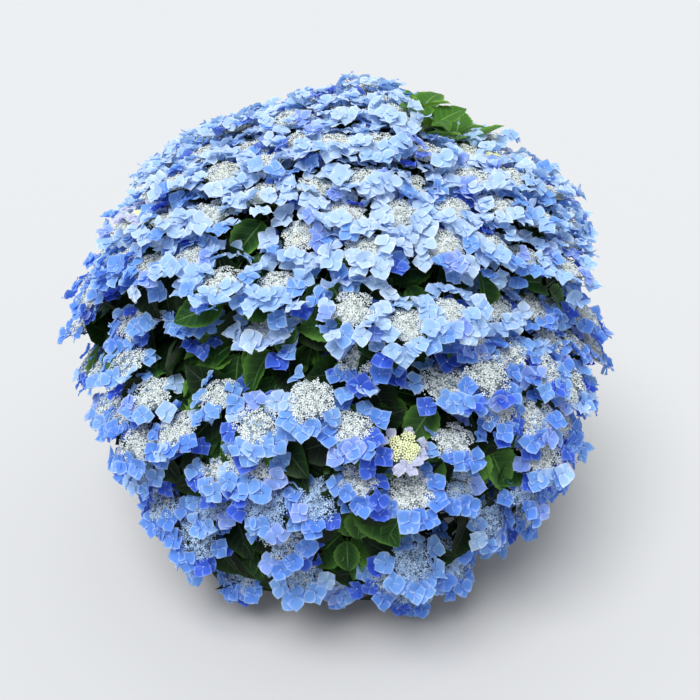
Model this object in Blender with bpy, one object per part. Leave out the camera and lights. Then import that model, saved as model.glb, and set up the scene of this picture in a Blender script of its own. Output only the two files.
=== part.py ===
"""A lacecap hydrangea shrub, rooted at the origin, in metres with +Z up and the front at -Y.

A low woody stool carries a fan of canes. Each cane feeds one mass of the crown: twigs that branch from
the cane's stem, a flower head or a rosette of leaves on each twig, and a leafy core that they stand out of.
"""

import math
import random

import bmesh
import bpy
from mathutils import Matrix, Vector
from mathutils.bvhtree import BVHTree

SEED = 11
CLEAR = 0.0003  # between pieces that meet

# The crown is a round mound. Its half sizes run from its centre to the level of the flower heads.
CROWN_CENTRE = Vector((0.0, 0.0, 0.575))
HALF_WIDTH = 0.640
HALF_DEPTH = 0.630
RISE = 0.615
DROP = 0.590
SWELL_RANGE = (0.955, 1.035)  # how far one mass stands out or in
EDGE_DIP = 0.055  # how much lower a mass is at its edge
EDGE_ANGLE = math.radians(24)
EDGE_LIMIT = 1.3  # the dip grows no further past this many edge angles

# Tiers of masses: name, number, elevation seen from the crown's centre and azimuth of the first, in
# degrees, and how far the feet of their canes stand from the middle of the stool.
TIERS = (
    ("top", 1, 86, 30, 0.0),
    ("upper", 5, 49, 14, 0.025),
    ("middle", 8, 9, -4, 0.051),
    ("lower", 7, -30, 20, 0.079),
)
TIER_SCATTER = 4.0  # degrees
WALL_GAP = 0.0025  # each mass stays this far from the planes between it and the others

# Shoots: one flower head or one rosette of leaves each.
SHOOT_SPACING = 0.129
LOWEST_SHOOT = -0.70  # z of the lowest shoots' direction
SETTLE_ROUNDS = 30
SETTLE_SHARE = 0.4  # of what two shoots lack in distance, the part each moves in one round
GROUND_CLEARANCE = 0.030
GOLDEN_ANGLE = math.pi * (3 - math.sqrt(5))
# Where the crown opens: azimuth and elevation in degrees, and how many of the shoots nearest to it bear
# leaves in place of heads.
LEAFY_PLACES = (
    (-60, 12, 1),
    (-48, 15, 1),
    (-35, 20, 1),
    (-22, 24, 1),
    (-10, 26, 1),
    (-25, 51, 1),
    (24, 41, 1),
    (-68, 53, 1),
    (97, 70, 2),
    (13, 20, 1),
    (-29, 1, 1),
    (-7, 1, 1),
    (10, -7, 1),
    (-26, -27, 1),
    (25, -17, 1),
    (37, -4, 1),
    (80, -12, 1),
    (110, 12, 1),
    (130, 24, 2),
    (152, -8, 1),
    (175, 35, 2),
    (-170, -15, 1),
    (-140, 8, 2),
    (-118, 30, 1),
    (-100, -20, 1),
)
LEAFY_SET_BACK = 0.93

# Flower heads: a domed disc ringed with broad florets that droop a little.
HEAD_RADIUS = (0.064, 0.072)
HEAD_SCALLOPS = 5
SCALLOP_DEPTH = 0.20
HEAD_DOME = 0.020
HEAD_DROOP = 0.006
HEAD_UPTURN = 0.52  # tilt from upright, as a share of the tilt of the shoot's own direction
HEAD_TILT_SCATTER = 9.0  # degrees

# Leaves: pointed ovals folded along the midrib.
LEAF_LENGTH = (0.105, 0.135)
LEAF_WIDTH_SHARE = 0.64
LEAF_WIDEST_AT = 0.42
LEAF_HALF_THICKNESS = 0.0016
LEAF_FOLD = 0.010
LEAF_ROOT_SUNK = 0.0005
# On a twig that ends in a flower head, and on one that ends in leaves: how many on average, where
# along the twig, and how far they droop.
LEAVES_ON_SHOOT = {True: 0.2, False: 4}
LEAF_SPOTS = {True: (0.50, 0.85), False: (0.80, 0.97)}
LEAF_DROOP = {True: (0.0, 0.4), False: (0.1, 0.8)}
LEAF_LEAN = (0.1, 0.5)  # how far a leaf leans along its twig
LEAF_LIFT = 0.3  # how far its face turns upwards
LEAF_TRIES = 24

# Twigs, and the stem and core inside each mass. Shares run from the crown's centre to its surface.
TWIG_RADIUS = (0.0052, 0.0040)
STEM_START = 0.50
STEM_ROOM = STEM_START + 0.02
STEM_END = 0.72
STEM_RADIUS = (0.0062, 0.0050)
STEM_SIDES = 5
CORE_BOTTOM, CORE_INNER, CORE_OUTER, CORE_TOP = 0.56, 0.58, 0.82, 0.87
CORE_SPREAD = 0.95  # of the way to the mass's walls
CORE_SIDES = 10
CORE_WIDEST = 40  # degrees
TWIG_ROOT = 0.72
TWIG_ROOT_PULL = 1.3  # how far a twig's root follows its shoot to the side of the mass's stem

# The open funnel round the canes, under the crown's centre: its radius at the ground, and how it widens.
STEM_ROOM_FOOT = 0.13
STEM_ROOM_SLOPE = 0.34

# The woody stool and the canes that rise from it.
STOOL_HEIGHT = 0.058
STOOL_RINGS = ((0.136, 0.0), (0.124, 0.010), (0.108, 0.030), (0.100, 0.048), (0.094, STOOL_HEIGHT))
STOOL_SIDES = 20
STOOL_LOBES = 5
STOOL_LOBE_DEPTH = 0.16
CANE_FOOT_RADIUS = 0.0105
CANE_TIP_RADIUS = 0.0062
CANE_SEGMENTS = 6
CANE_UPRIGHT = 0.018  # the straight part at its foot
CANE_LEAN = 1.25
CANE_BEND = 0.62

LEAF_GREEN = (0.045, 0.130, 0.025, 1)
CANE_BROWN = (0.150, 0.105, 0.065, 1)
BARK_BROWN = (0.110, 0.080, 0.052, 1)


# ---------------------------------------------------------------- the rule that places everything


def direction_of(azimuth, elevation):
    """A unit vector from degrees. Azimuth 0 is the front, -Y, and 90 is the right, +X."""
    a, e = math.radians(azimuth), math.radians(elevation)
    return Vector((math.sin(a) * math.cos(e), -math.cos(a) * math.cos(e), math.sin(e)))


def crown_reach(direction):
    """Distance from the crown's centre to its surface along a unit direction."""
    half_height = RISE if direction.z > 0 else DROP
    x, y, z = direction.x / HALF_WIDTH, direction.y / HALF_DEPTH, direction.z / half_height
    return 1 / math.sqrt(x * x + y * y + z * z)


class Mass:
    """One mass of the crown: all that lies nearest to its direction, inside the walls to the others."""

    def __init__(self, name, direction, swell, foot_radius):
        self.name = name
        self.direction = direction
        self.swell = swell
        self.cane_foot = direction.xy.normalized() * foot_radius
        self.walls = []
        self.shoots = []

    def point(self, direction, share):
        """A point at a share of the way from the crown's centre to this mass's cushioned surface."""
        angle = self.direction.angle(direction)
        dip = 1 - EDGE_DIP * min(angle / EDGE_ANGLE, EDGE_LIMIT) ** 2
        return CROWN_CENTRE + direction * crown_reach(direction) * self.swell * dip * share

    def holds(self, point, room=WALL_GAP):
        """Whether a point is inside this mass's own space, above the ground and outside the stem room."""
        from_centre = point - CROWN_CENTRE
        return (
            point.z > GROUND_CLEARANCE
            and not in_stem_room(point)
            and all(from_centre.dot(wall) > room for wall in self.walls)
        )


def in_stem_room(point):
    """The open middle of the shrub, where only canes run."""
    funnel = STEM_ROOM_FOOT + STEM_ROOM_SLOPE * point.z
    if point.z < CROWN_CENTRE.z and math.hypot(point.x, point.y) < funnel:
        return True
    from_centre = point - CROWN_CENTRE
    return from_centre.length < STEM_ROOM * crown_reach(from_centre.normalized())


def lay_out_masses():
    rng = random.Random(SEED)
    masses = []
    for tier, count, elevation, first, foot_radius in TIERS:
        for i in range(count):
            azimuth = first + 360 / count * i + rng.uniform(-TIER_SCATTER, TIER_SCATTER)
            tilt = elevation + rng.uniform(-TIER_SCATTER, TIER_SCATTER)
            name = tier if count == 1 else f"{tier}_{i + 1}"
            masses.append(Mass(name, direction_of(azimuth, tilt), rng.uniform(*SWELL_RANGE), foot_radius))
    for mass in masses:
        mass.walls = [(mass.direction - m.direction).normalized() for m in masses if m is not mass]
    return masses


class Shoot:
    """The end of one twig: a flower head, or a rosette of leaves where the crown opens."""

    def __init__(self, mass, direction, rng):
        self.mass = mass
        self.flowering = True
        self.radius = rng.uniform(*HEAD_RADIUS)
        self.spin = rng.uniform(0, math.tau)
        self.tilt = rng.uniform(0, math.tau), math.radians(rng.uniform(0, HEAD_TILT_SCATTER))
        self.move_to(direction)

    def bear_leaves(self):
        self.flowering = False
        self.move_to(self.direction)

    def move_to(self, direction):
        self.direction = direction
        self.point = self.mass.point(direction, 1 if self.flowering else LEAFY_SET_BACK)

    def facing(self):
        """The way the head faces: between straight out and straight up, a little scattered."""
        up = Vector((0, 0, 1))
        tilt = up.angle(self.direction) * HEAD_UPTURN
        side = up.cross(self.direction).normalized()
        facing = Matrix.Rotation(tilt, 3, side) @ up
        turn, lean = self.tilt
        across = Matrix.Rotation(turn, 3, facing) @ side
        return (Matrix.Rotation(lean, 3, across) @ facing).normalized()


def golden_directions(count):
    """Unit vectors spread evenly over a sphere, from the top down."""
    for i in range(count):
        z = 1 - (2 * i + 1) / count
        ring = math.sqrt(1 - z * z)
        yield Vector((ring * math.cos(GOLDEN_ANGLE * i), ring * math.sin(GOLDEN_ANGLE * i), z))


def lay_out_shoots(masses):
    """Even places for the shoots, each settled clear of its mass's walls."""
    rng = random.Random(SEED + 1)
    area = 4 * math.pi * HALF_WIDTH * HALF_DEPTH
    shoots = []
    for direction in golden_directions(round(area / (SHOOT_SPACING**2 * math.sqrt(3) / 2))):
        if direction.z > LOWEST_SHOOT:
            mass = max(masses, key=lambda m: m.direction.dot(direction))
            shoots.append(Shoot(mass, direction, rng))
    for _ in range(SETTLE_ROUNDS):
        settle(shoots)
    for azimuth, elevation, count in LEAFY_PLACES:
        for shoot in nearest_flowering(shoots, direction_of(azimuth, elevation))[:count]:
            shoot.bear_leaves()
    for shoot in shoots:
        nearest = min((shoot.point - other.point).length for other in shoots if other is not shoot)
        shoot.radius = min(shoot.radius, nearest / 2)
        shoot.mass.shoots.append(shoot)


def nearest_flowering(shoots, direction):
    flowering = [shoot for shoot in shoots if shoot.flowering]
    return sorted(flowering, key=lambda shoot: shoot.direction.angle(direction))


def settle(shoots):
    """One round of moving shoots apart from each other, then back inside their masses' walls."""
    pushes = [Vector() for _ in shoots]
    for i, a in enumerate(shoots):
        for j in range(i):
            between = a.point - shoots[j].point
            short = SHOOT_SPACING - between.length
            if short > 0:
                push = between.normalized() * short * SETTLE_SHARE
                pushes[i] += push
                pushes[j] -= push
    for shoot, push in zip(shoots, pushes):
        moved = shoot.point + push
        facing = shoot.facing()
        for wall in shoot.mass.walls:
            room = shoot.radius * math.sqrt(1 - wall.dot(facing) ** 2) + HEAD_DROOP + WALL_GAP
            short = room - (moved - CROWN_CENTRE).dot(wall)
            if short > 0:
                moved += wall * short
        direction = (moved - CROWN_CENTRE).normalized()
        direction.z = max(direction.z, LOWEST_SHOOT)
        shoot.move_to(direction.normalized())


# ---------------------------------------------------------------- meshes


def object_from(name, mesh_in_bmesh):
    mesh = bpy.data.meshes.new(name)
    bmesh.ops.recalc_face_normals(mesh_in_bmesh, faces=mesh_in_bmesh.faces)
    mesh_in_bmesh.to_mesh(mesh)
    mesh_in_bmesh.free()
    made = bpy.data.objects.new(name, mesh)
    bpy.context.scene.collection.objects.link(made)
    return made


def lofted(name, rings, bottom=None, top=None):
    """A closed body through rings of points. A point given as bottom or top closes that end in a fan."""
    bm = bmesh.new()
    loops = [[bm.verts.new(point) for point in ring] for ring in rings]
    sides = len(loops[0])
    for low, high in zip(loops, loops[1:]):
        for k in range(sides):
            bm.faces.new((low[k], low[(k + 1) % sides], high[(k + 1) % sides], high[k]))
    for loop, apex in ((loops[0], bottom), (loops[-1], top)):
        if apex is None:
            bm.faces.new(loop)
            continue
        tip = bm.verts.new(apex)
        for k in range(sides):
            bm.faces.new((loop[k], loop[(k + 1) % sides], tip))
    bmesh.ops.triangulate(bm, faces=bm.faces)
    return object_from(name, bm)


def point_round(centre, axis, radius, angle):
    """A point at an angle on a circle round an axis."""
    frame = axis.to_track_quat("Z", "Y").to_matrix()
    return centre + frame @ Vector((math.cos(angle), math.sin(angle), 0)) * radius


def ring_round(centre, axis, radius, sides):
    return [point_round(centre, axis, radius, math.tau * k / sides) for k in range(sides)]


def tapered_rod(name, start, end, radii, sides):
    along = end - start
    return lofted(name, [ring_round(p, along, r, sides) for p, r in zip((start, end), radii)])


def head_points(shoot):
    """The scalloped rim of a flower head, and the top of its dome. It is flat underneath."""
    facing = shoot.facing()
    middle = shoot.point - facing * HEAD_DROOP
    rim = []
    for k in range(2 * HEAD_SCALLOPS):
        radius = shoot.radius * (1 if k % 2 else 1 - SCALLOP_DEPTH)
        rim.append(point_round(middle, facing, radius, shoot.spin + math.pi * k / HEAD_SCALLOPS))
    return rim, shoot.point + facing * HEAD_DOME


def leaf_points(root, along, face, length):
    """Root, two sides, tip and the two faces of the midrib. The blade folds up along the midrib."""
    across = along.cross(face).normalized()
    half_width = length * LEAF_WIDTH_SHARE / 2
    middle = root + along * length * LEAF_WIDEST_AT
    start = root - along * LEAF_ROOT_SUNK
    rib = middle - face * LEAF_FOLD
    return (
        start,
        middle + across * half_width,
        root + along * length,
        middle - across * half_width,
        rib + face * LEAF_HALF_THICKNESS,
        rib - face * LEAF_HALF_THICKNESS,
    )


def leaf(name, points):
    *rim, above, below = points
    return lofted(name, [rim], bottom=below, top=above)


# ---------------------------------------------------------------- the masses


def core_of(mass):
    """A low faceted cushion in the middle of a mass's space."""
    frame = mass.direction.to_track_quat("Z", "Y").to_matrix()
    inner, outer = [], []
    for k in range(CORE_SIDES):
        angle = math.tau * k / CORE_SIDES
        sideways = frame @ Vector((math.cos(angle), math.sin(angle), 0))
        spread = CORE_SPREAD * widest_angle(mass, sideways)
        direction = mass.direction * math.cos(spread) + sideways * math.sin(spread)
        inner.append(mass.point(direction, CORE_INNER))
        outer.append(mass.point(direction, CORE_OUTER))
    bottom, top = (mass.point(mass.direction, share) for share in (CORE_BOTTOM, CORE_TOP))
    return lofted(mass.name + "_core", [inner, outer], bottom, top)


def widest_angle(mass, sideways):
    """How far a mass's space reaches from its middle towards one side."""
    for degrees in range(1, CORE_WIDEST + 1):
        angle = math.radians(degrees)
        direction = mass.direction * math.cos(angle) + sideways * math.sin(angle)
        if not all(mass.holds(mass.point(direction, share)) for share in (CORE_INNER, CORE_OUTER)):
            return math.radians(degrees - 1)
    return math.radians(CORE_WIDEST)


def twig_root(mass, shoot):
    """Where a shoot's twig starts: inside the core, between the mass's middle and the shoot."""
    return mass.point((mass.direction + TWIG_ROOT_PULL * shoot.direction).normalized(), TWIG_ROOT)


def leaf_beside(mass, base, away, rng, droop, others):
    """A leaf that starts at base, fits its mass's space and touches none of the others, or None."""
    for _ in range(LEAF_TRIES):
        turn = Matrix.Rotation(rng.uniform(0, math.tau), 3, away)
        side = turn @ away.orthogonal().normalized()
        along = (side + away * rng.uniform(*LEAF_LEAN) - Vector((0, 0, rng.uniform(*droop)))).normalized()
        face = (away - along * away.dot(along) + Vector((0, 0, LEAF_LIFT))).normalized()
        face = (face - along * face.dot(along)).normalized()
        points = leaf_points(base, along, face, rng.uniform(*LEAF_LENGTH))
        if all(mass.holds(point) for point in points[1:]):
            made = leaf("leaf", points)
            surface = surface_of(made)
            if not any(surface.overlap(other) for other in others):
                return made, surface
            bpy.data.objects.remove(made)
    return None


def surface_of(piece):
    mesh = piece.data
    return BVHTree.FromPolygons([v.co for v in mesh.vertices], [p.vertices for p in mesh.polygons])


def stem_of(mass, cane):
    """The stem inside a mass, flat against the tip of its cane."""
    along = (cane[-1] - cane[-2]).normalized()
    start = cane[-1] + along * CLEAR
    end = mass.point(mass.direction, STEM_END)
    return lofted("stem", [ring_round(p, along, r, STEM_SIDES) for p, r in zip((start, end), STEM_RADIUS)])


def pieces_of(mass, cane):
    """Everything that is fused into one mass: stem, core, twigs, flower heads and leaves."""
    rng = random.Random(f"{SEED} {mass.name}")
    core = core_of(mass)
    stem = stem_of(mass, cane)
    twigs, heads, leaves = {}, {}, []
    for shoot in mass.shoots:
        twigs[shoot] = tapered_rod("twig", twig_root(mass, shoot), shoot.point, TWIG_RADIUS, 3)
        if shoot.flowering:
            rim, above = head_points(shoot)
            if all(mass.holds(point, WALL_GAP / 2) for point in rim):
                heads[shoot] = lofted("head", [rim], top=above)
    surfaces = {piece: surface_of(piece) for piece in [core, *twigs.values(), *heads.values()]}
    for shoot in mass.shoots:
        others = [surface for piece, surface in surfaces.items() if piece is not twigs[shoot]]
        low, high = LEAF_SPOTS[shoot.flowering]
        for _ in range(int(LEAVES_ON_SHOOT[shoot.flowering] + rng.random())):
            root, tip = twig_root(mass, shoot), shoot.point
            base = root.lerp(tip, rng.uniform(low, high))
            away = (tip - root).normalized()
            grown = leaf_beside(mass, base, away, rng, LEAF_DROOP[shoot.flowering], others)
            if grown:
                leaves.append(grown[0])
                surfaces[grown[0]] = grown[1]
                others.append(grown[1])
    return [core, stem, *twigs.values(), *heads.values(), *leaves]


def fuse(name, pieces, material):
    """One closed body from overlapping pieces, by one Boolean union on a collection."""
    base, *others = pieces
    joining = bpy.data.collections.new(name + "_joining")
    bpy.context.scene.collection.children.link(joining)
    for piece in others:
        bpy.context.scene.collection.objects.unlink(piece)
        joining.objects.link(piece)
    union = base.modifiers.new("join", "BOOLEAN")
    union.operation = "UNION"
    union.operand_type = "COLLECTION"
    union.collection = joining
    union.solver = "MANIFOLD"
    with bpy.context.temp_override(object=base, active_object=base):
        bpy.ops.object.modifier_apply(modifier=union.name)
    for piece in others:
        bpy.data.objects.remove(piece)
    bpy.data.collections.remove(joining)
    keep_largest_shell(base.data)
    base.name = base.data.name = name
    base.data.materials.append(material)
    return base


def keep_largest_shell(mesh):
    """Fills sealed hollows and drops loose scraps, by keeping only the shell of the greatest volume."""
    bm = bmesh.new()
    bm.from_mesh(mesh)
    seen, shells = set(), []
    for face in bm.faces:
        if face in seen:
            continue
        shell, waiting = [], [face]
        seen.add(face)
        while waiting:
            current = waiting.pop()
            shell.append(current)
            for edge in current.edges:
                beyond = [other for other in edge.link_faces if other not in seen]
                seen.update(beyond)
                waiting.extend(beyond)
        shells.append(shell)
    largest = max(shells, key=shell_volume)
    scraps = [face for shell in shells if shell is not largest for face in shell]
    bmesh.ops.delete(bm, geom=scraps, context="FACES")
    bm.to_mesh(mesh)
    bm.free()


def shell_volume(faces):
    volume = 0.0
    for face in faces:
        first = face.verts[0].co
        for a, b in zip(face.verts[1:], face.verts[2:]):
            volume += first.dot(a.co.cross(b.co)) / 6
    return volume


# ---------------------------------------------------------------- wood


def plain_material(name, colour, roughness):
    material = bpy.data.materials.new(name)
    material.use_nodes = True
    shader = material.node_tree.nodes["Principled BSDF"]
    shader.inputs["Base Color"].default_value = colour
    shader.inputs["Roughness"].default_value = roughness
    return material


def make_stool(material):
    """The short woody foot, flared and lobed like its roots, cut flat at the ground."""
    rings = []
    for radius, height in STOOL_RINGS:
        fade = 1 - height / STOOL_HEIGHT
        ring = []
        for k in range(STOOL_SIDES):
            angle = math.tau * k / STOOL_SIDES
            reach = radius * (1 + STOOL_LOBE_DEPTH * fade * math.cos(STOOL_LOBES * angle))
            ring.append(Vector((math.cos(angle) * reach, math.sin(angle) * reach, height)))
        rings.append(ring)
    stool = lofted("stem_base", rings)
    stool.data.materials.append(material)


def cane_line(mass):
    """A cane's middle line: upright from the stool, then arching out to its mass."""
    tip = mass.point(mass.direction, STEM_START)
    foot = Vector((*mass.cane_foot, STOOL_HEIGHT + CLEAR))
    start = foot + Vector((0, 0, CANE_UPRIGHT))
    bend = Vector((*mass.cane_foot * CANE_LEAN, start.z + CANE_BEND * (tip.z - start.z)))
    line = [foot]
    for k in range(CANE_SEGMENTS + 1):
        t = k / CANE_SEGMENTS
        line.append(start * (1 - t) ** 2 + bend * 2 * t * (1 - t) + tip * t * t)
    return line


def make_cane(mass, line, material):
    """One tapering cane as a curve, round, with flat ends."""
    curve = bpy.data.curves.new("cane_" + mass.name, "CURVE")
    curve.dimensions = "3D"
    curve.bevel_depth = CANE_FOOT_RADIUS
    curve.bevel_resolution = 1
    curve.use_fill_caps = True
    spline = curve.splines.new("POLY")
    spline.points.add(len(line) - 1)
    for k, (point, place) in enumerate(zip(spline.points, line)):
        share = k / (len(line) - 1)
        point.co = (*place, 1)
        point.radius = 1 + share * (CANE_TIP_RADIUS / CANE_FOOT_RADIUS - 1)
    curve.materials.append(material)
    bpy.context.scene.collection.objects.link(bpy.data.objects.new(curve.name, curve))


def main():
    for old in list(bpy.data.objects):
        bpy.data.objects.remove(old)
    leaf_green = plain_material("leaf_green", LEAF_GREEN, 0.5)
    cane_brown = plain_material("cane_brown", CANE_BROWN, 0.8)
    bark_brown = plain_material("bark_brown", BARK_BROWN, 0.9)
    masses = lay_out_masses()
    lay_out_shoots(masses)
    make_stool(bark_brown)
    for mass in masses:
        line = cane_line(mass)
        make_cane(mass, line, cane_brown)
        fuse("foliage_" + mass.name, pieces_of(mass, line), leaf_green)


main()
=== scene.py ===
"""The looks of a lacecap hydrangea shrub, in metres, with +Z up and the front at -Y.

The canes and the woody stool get bark. From the tip of each cane its mass of the crown grows again, by the
same rule as its solid: boughs, twigs, pairs of leaves, and on each twig a flower head, which is a lacy disc
of small fertile flowers ringed with broad blue florets.
"""

import math
import random
from collections import namedtuple
from functools import partialmethod

import bpy
import numpy as np
from mathutils import Matrix, Vector, noise


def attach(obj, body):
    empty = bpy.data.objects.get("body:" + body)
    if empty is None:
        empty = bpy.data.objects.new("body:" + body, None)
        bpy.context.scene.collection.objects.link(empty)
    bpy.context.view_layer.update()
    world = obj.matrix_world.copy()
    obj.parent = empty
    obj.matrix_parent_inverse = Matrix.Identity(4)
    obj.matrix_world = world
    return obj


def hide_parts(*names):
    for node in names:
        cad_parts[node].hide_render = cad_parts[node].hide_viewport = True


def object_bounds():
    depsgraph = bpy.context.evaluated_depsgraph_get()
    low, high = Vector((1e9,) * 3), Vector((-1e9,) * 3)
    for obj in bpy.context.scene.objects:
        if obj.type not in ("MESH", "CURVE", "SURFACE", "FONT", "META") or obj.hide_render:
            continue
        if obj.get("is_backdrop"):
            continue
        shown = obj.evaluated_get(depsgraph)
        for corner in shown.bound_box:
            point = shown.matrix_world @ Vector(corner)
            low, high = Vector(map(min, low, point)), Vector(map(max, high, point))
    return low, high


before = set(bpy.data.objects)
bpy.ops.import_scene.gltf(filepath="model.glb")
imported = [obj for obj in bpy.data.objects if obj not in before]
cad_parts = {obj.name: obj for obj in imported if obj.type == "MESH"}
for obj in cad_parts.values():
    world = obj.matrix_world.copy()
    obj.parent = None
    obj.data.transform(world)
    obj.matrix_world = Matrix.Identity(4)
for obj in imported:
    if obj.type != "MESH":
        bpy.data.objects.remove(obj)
SOLIDS_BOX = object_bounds()
CANE_NODES = sorted(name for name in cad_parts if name.startswith("cane_"))


def direction_of(azimuth, elevation):
    """A unit vector from degrees. Azimuth 0 is the front, -Y, and 90 is the right, +X."""
    a, e = math.radians(azimuth), math.radians(elevation)
    return Vector((math.sin(a) * math.cos(e), -math.cos(a) * math.cos(e), math.sin(e)))


SEED = 11

# The crown is a round mound. Its half sizes run from its centre to the level of the flower heads.
CROWN_CENTRE = Vector((0.0, 0.0, 0.575))
HALF_WIDTH = 0.640
HALF_DEPTH = 0.630
RISE = 0.615
DROP = 0.590
SWELL_RANGE = (0.955, 1.035)  # how far one mass stands out or in
EDGE_DIP = 0.055  # how much lower a mass is at its edge
EDGE_ANGLE = math.radians(24)
EDGE_LIMIT = 1.3  # the dip grows no further past this many edge angles

# Tiers of masses: name, number, elevation seen from the crown's centre and azimuth of the first, in
# degrees, and how far the feet of their canes stand from the middle of the stool.
TIERS = (
    ("top", 1, 86, 30, 0.0),
    ("upper", 5, 49, 14, 0.025),
    ("middle", 8, 9, -4, 0.051),
    ("lower", 7, -30, 20, 0.079),
)
TIER_SCATTER = 4.0  # degrees
# What grows on them is joined level by level, each kind apart.
LEVELS = {"high": ("top", "upper"), "middle": ("middle",), "low": ("lower",)}

# Shoots: one flower head or one rosette of leaves each, carried to finer twigs than the solids have.
SHOOT_SPACING = 0.116
ROOM_RANGE = (0.84, 1.16)  # some shoots crowd their neighbours and some stand apart
LOWEST_SHOOT = -0.70  # z of the lowest shoots' direction
SPARSE_BELOW = 0.12  # z of the direction below which the shade leaves some shoots out
SPARSE_SHARE = 0.30
SETTLE_ROUNDS = 40
SETTLE_SHARE = 0.4
FAR_OFF = 9.0  # counts as a shoot's distance from itself
WALL_ROOM = 0.040  # between a shoot and the planes that part its mass from the others
LEVEL_RANGE = (0.935, 0.995)  # how far heads stand out of the mass's surface, or sink in
SHELF = 0.13  # a mass's lower edge stands out over the next one, and its upper edge lies back
GROUND_CLEARANCE = 0.012
GOLDEN_ANGLE = math.pi * (3 - math.sqrt(5))
# Where the crown opens: azimuth and elevation, in degrees. The head nearest to each place gives way to
# leaves, and a place that is given twice opens twice as wide.
CREASE = ((-74, 8), (-62, 11), (-51, 14), (-40, 18), (-30, 21), (-20, 24), (-10, 26))
LEAFY_ABOVE = ((-25, 51), (-10, 44), (18, 42), (30, 40), (-68, 53), (91, 48), (13, 20))
LEAFY_BELOW = ((-29, 1), (-42, -10), (-7, 1), (3, -26), (8, -10), (-26, -27), (25, -17), (37, -4))
LEAFY_RIGHT = ((45, -22), (80, -12), (110, 12), (130, 24), (130, 24), (152, -8), (175, 35), (175, 35))
LEAFY_LEFT = ((-170, -15), (-140, 8), (-140, 8), (-118, 30), (-100, -20))
LEAFY_PLACES = CREASE + LEAFY_ABOVE + LEAFY_BELOW + LEAFY_RIGHT + LEAFY_LEFT
LEAFY_SET_BACK = (0.81, 0.89)
BRIGHT_PLACE = direction_of(97, 70)  # where young leaves stand up in the sun
BRIGHT_ANGLE = math.radians(10)
BRIGHT_SET_BACK = 0.98
BRIGHT_SIZE = 0.8

# Flower heads: tufts of small fertile flowers and buds make the disc, and florets stand round it.
HEAD_SIZE = (0.84, 1.06)
HEAD_UPTURN = 0.46  # tilt from upright, as a share of the tilt of the shoot's own direction
HEAD_TILT_SCATTER = 14.0  # degrees
SWAY = 0.3  # how far flowers and florets turn from the way that they would face
# Below LOW, heads get darker, bluer disc colours and near-black leaves: painted shade. Above SUNNY they get
# paler florets and lighter discs, palest above HIGHEST: painted sunlight.
LOW = -0.08  # z of the direction below which a head is in the shade of the others
SUNNY = 0.45  # and above which it is in the sun on top of the shrub
HIGHEST = 0.66  # and above which its florets are the palest
TUFTS = (5, 7)  # round the middle one
TUFT_RING = 0.0350
TUFT_RADIUS = 0.0195
TUFT_SCATTER = (0.85, 1.12)
TUFT_SWAY = 0.12  # radians, from its even place on the ring
TUFT_DOME = 0.0060
DISC_DOME = 0.0120
SUNNY_DISC = 0.88
FLOWERS_IN_TUFT = 31
INNERMOST_FLOWER = 0.6  # of the first step out from a tuft's middle
FLOWER_RADIUS = (0.0039, 0.0052)
FLOWER_SCATTER = 0.001  # up and down
TUFT_LEAN = 18  # how much flowers lean away from their tuft's middle, for each metre out from it
DISC_LEAN = 9  # and from the disc's middle
MAIN_TINT_SHARE = 0.75  # of the flowers
BUD_SHARE = 0.32
BUD_RADIUS = (0.0020, 0.0028)
BUD_TINT_SHARE = 0.25  # of the buds
CUSHION_DROP = 0.005  # the soft body under a disc: its depth below the rim, and its share of the tufts
CUSHION_REACH = 0.2
CUSHION_RISE = 0.8
RAYS = 6
RAY_DROP = 0.034  # the twig forks into rays this far under the disc
JOIN = 0.001  # a ray ends this far above the rim, and a stalk this far under its floret

# Florets round a disc: how many, how far out, how high above its rim, the degrees that they tilt outwards,
# and how they crowd. More than 1 puts more of them on the disc's downhill side.
Ring = namedtuple("Ring", "count reach rise tilt crowding")
FLORETS = Ring((7, 10), (0.046, 0.070), (-0.009, 0.006), (-4.0, 45.0), 1.5)
SUNNY_FLORETS = Ring((14, 17), (0.044, 0.083), (-0.004, 0.012), (-20.0, 48.0), 1.1)
FLORET_RADIUS = (0.0250, 0.0325)
SUNNY_FLORET_SIZE = 0.92
FLORET_SCATTER = 0.5  # of a step round the disc
FLORET_CLIMB = 0.45  # how much higher florets stand that are nearer to the middle
FLORET_UPTURN = 0.12
OWN_TINT_SHARE = 0.7  # of a head's florets
STALK_FORK = 0.7  # of the way down to where the rays fork
STALK_BOW = 0.006
HEART_RADIUS = 0.075  # the closed flower in a floret's middle, and how high it sits, for a radius of 1
HEART_LIFT = 0.09
HEART_CHANCE = 0.2  # near the lightest of its tint
# A few more florets stand lower, in the shade of the others; those on the sides get the darkest blue,
# painted shade.
UNDER_FLORETS = (1, 3)
SUNNY_UNDER_FLORETS = (4, 6)
UNDER_REACH = (0.050, 0.074)
UNDER_RISE = (-0.036, -0.018)
# The heads nearest to these are young: smaller, still in cream bud, with pale little florets.
YOUNG_PLACES = ((12, 13), (95, 58), (-64, 40), (118, -4), (170, 12), (-128, -18))
YOUNG_SIZE = 0.74
YOUNG_FLORET_SIZE = 0.58
YOUNG_BUD_SIZE = 1.3

# Small shapes: a floret of radius 1 from four sepals, each drawn from these ranges.
FLORET_VARIANTS = 14
FLORET_PITCH = (-4.0, 24.0)  # degrees that the sepals of one floret rise
FLORET_STEP = 0.05  # every other sepal stands this much higher
SEPAL_PITCH = (-16.0, 16.0)  # added for each
SEPAL_YAW = 0.20
SEPAL_ROWS = 5
SEPAL_LENGTH = (0.84, 1.08)
SEPAL_WIDTH = (0.47, 0.63)
SEPAL_SHOULDER = 0.82  # less than 1 moves the broadest place towards the root
SEPAL_POINT = (0.85, 1.40)
SEPAL_CUP = (-0.34, 0.22)
SEPAL_FOLD = (-0.25, 0.45)
SEPAL_WAVE = (0.04, 0.14)
SEPAL_WAVE_TURNS = 7  # radians of the wave from root to tip
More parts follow.
